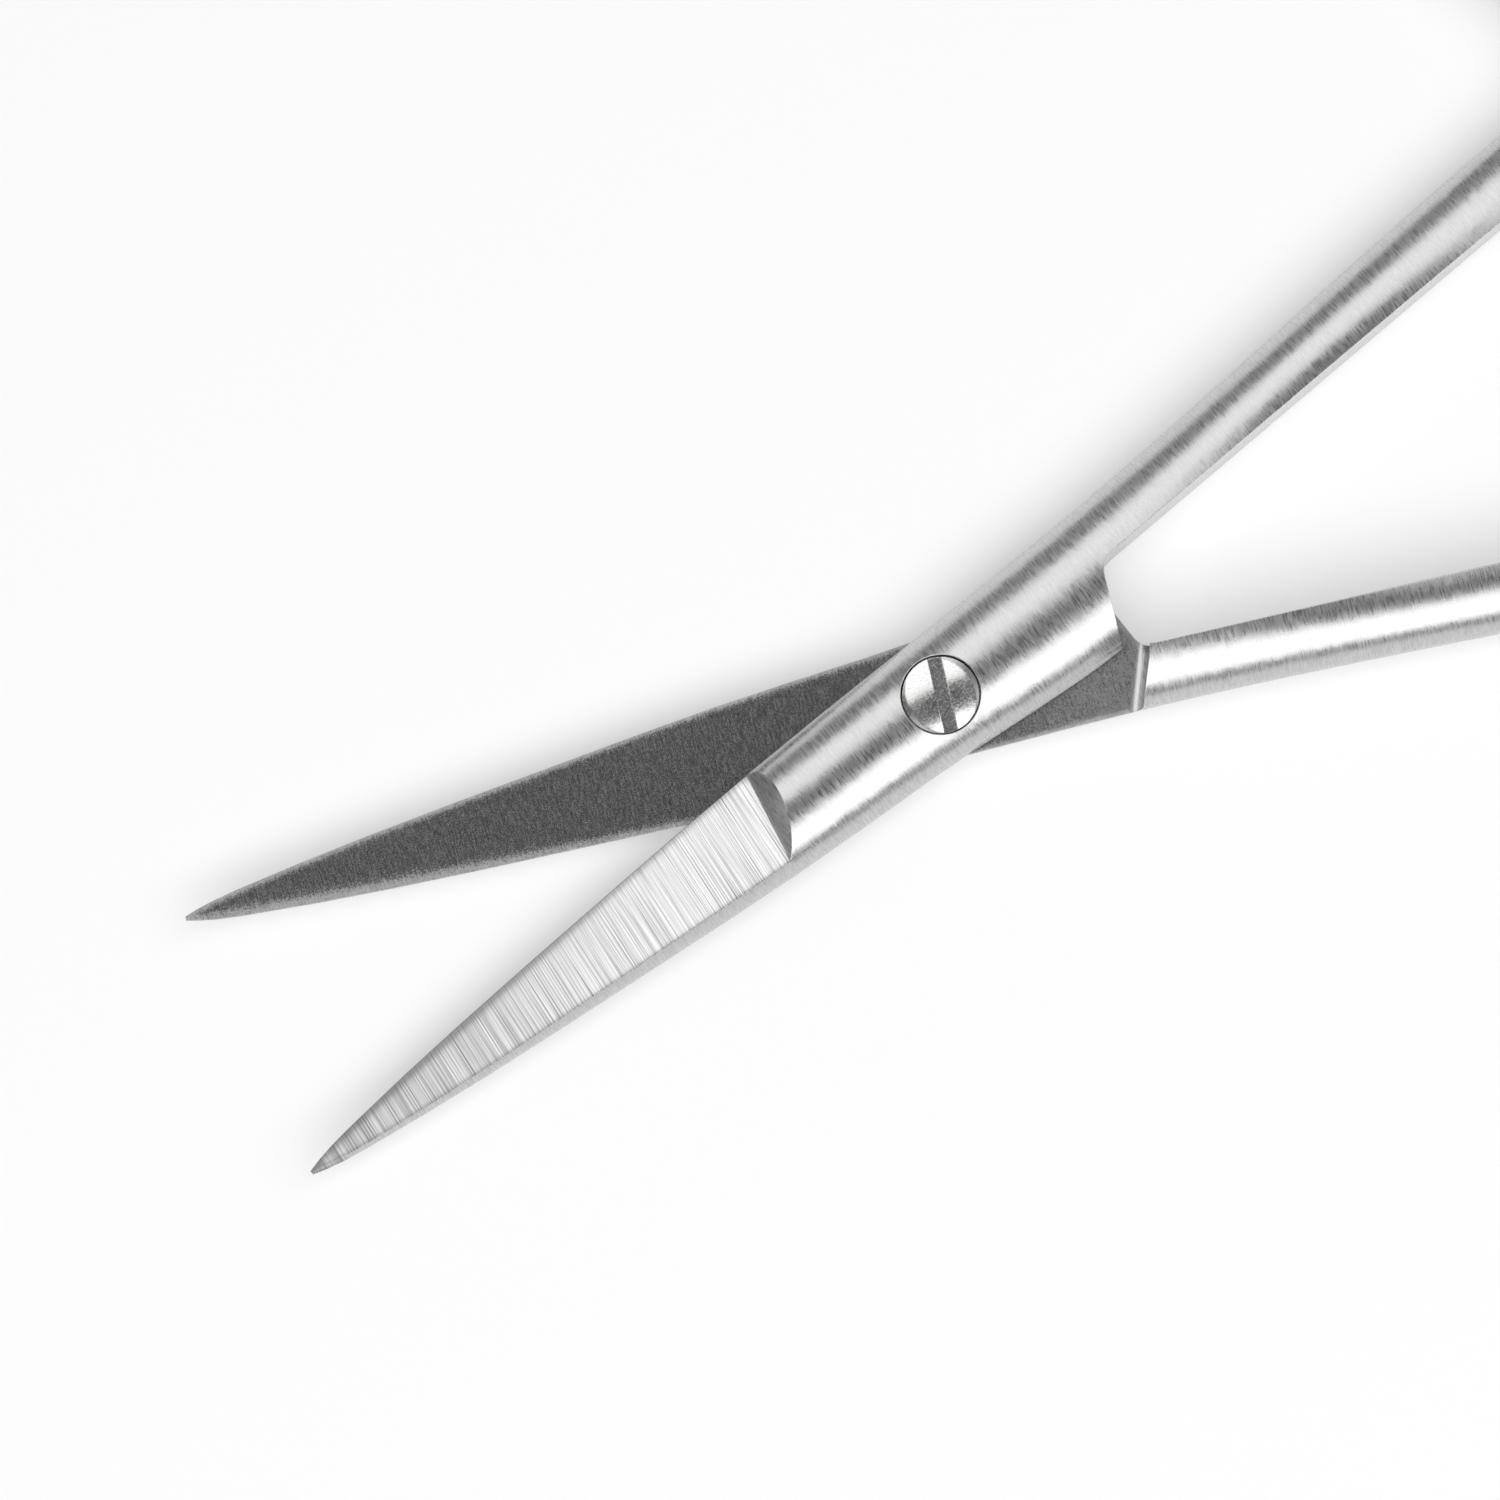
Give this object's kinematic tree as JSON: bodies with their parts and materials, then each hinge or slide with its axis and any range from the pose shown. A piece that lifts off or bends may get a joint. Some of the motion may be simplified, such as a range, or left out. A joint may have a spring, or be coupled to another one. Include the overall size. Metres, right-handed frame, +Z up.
{
  "type": "cuticle scissors",
  "caption": "Fine-point straight cuticle scissors with half-round shanks, finger rings and a slotted pivot screw.",
  "frame": {"origin": "centre of the open tool's bounding box, on the surface that it lies on", "axes": "+X from the tips towards the finger rings, +Y towards the front half's ring, +Z up, along the pivot screw towards its slotted head"},
  "size_m": [0.0866, 0.065, 0.0038],
  "materials": {
    "satin_steel": "satin, ground across the length",
    "screw_steel": "polished"
  },
  "bodies": {
    "rear": {"rear_half": "satin_steel", "pivot_screw": "screw_steel"},
    "front": {"front_half": "satin_steel"}
  },
  "joints": [
    {"name": "pivot", "type": "hinge", "parent": "rear", "child": "front", "pos_m": [-0.01226, 0, 0.00188], "axis": [0, 0, 1], "range_deg": [-20.8, 54.2]}
  ]
}
